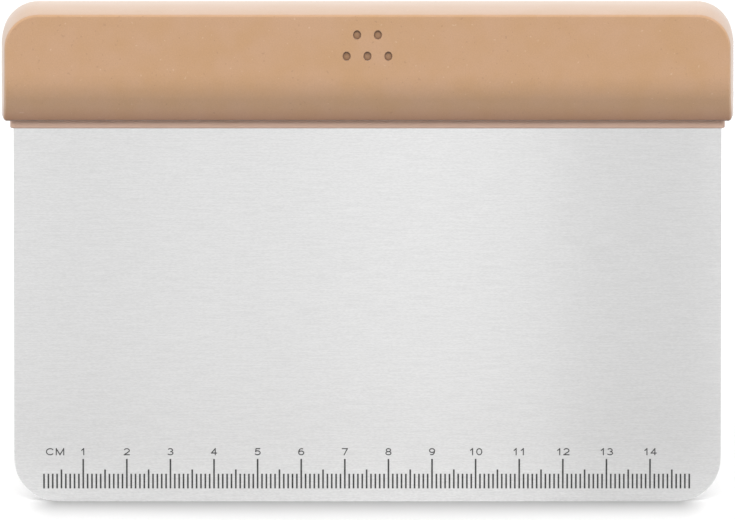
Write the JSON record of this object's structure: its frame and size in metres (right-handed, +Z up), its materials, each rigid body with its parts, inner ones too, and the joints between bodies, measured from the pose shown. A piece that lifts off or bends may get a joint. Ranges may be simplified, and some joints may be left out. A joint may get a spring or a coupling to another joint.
{
  "type": "bench scraper",
  "caption": "Upright bench scraper: a brushed steel sheet blade with a centimetre ruler along its edge, held in a rigid core under a soft full-width grip.",
  "frame": {"origin": "middle of the blade's bottom edge, under the middle of the grip, at half the blade's thickness", "axes": "+X along the blade's edge, the way the ruler counts; +Y from the ruler side to the plain rear side; +Z up from the blade's edge to the grip"},
  "size_m": [0.1674, 0.0194, 0.1147],
  "materials": {
    "brushed_stainless": "fine brushing along the width, satin sheen",
    "core_plastic": "matte moulded plastic, slightly pinker than the grip",
    "soft_grip": "matte soft-touch moulded rubber, light tan",
    "ruler_ink": "thin matte dark grey ink"
  },
  "bodies": {
    "root": {"blade": "brushed_stainless", "handle_core": "core_plastic", "grip_cover": "soft_grip", "ruler_millimetre_marks": "ruler_ink", "ruler_half_centimetre_marks": "ruler_ink", "ruler_centimetre_marks": "ruler_ink", "ruler_numerals": "ruler_ink", "ruler_unit_mark": "ruler_ink"}
  },
  "joints": []
}
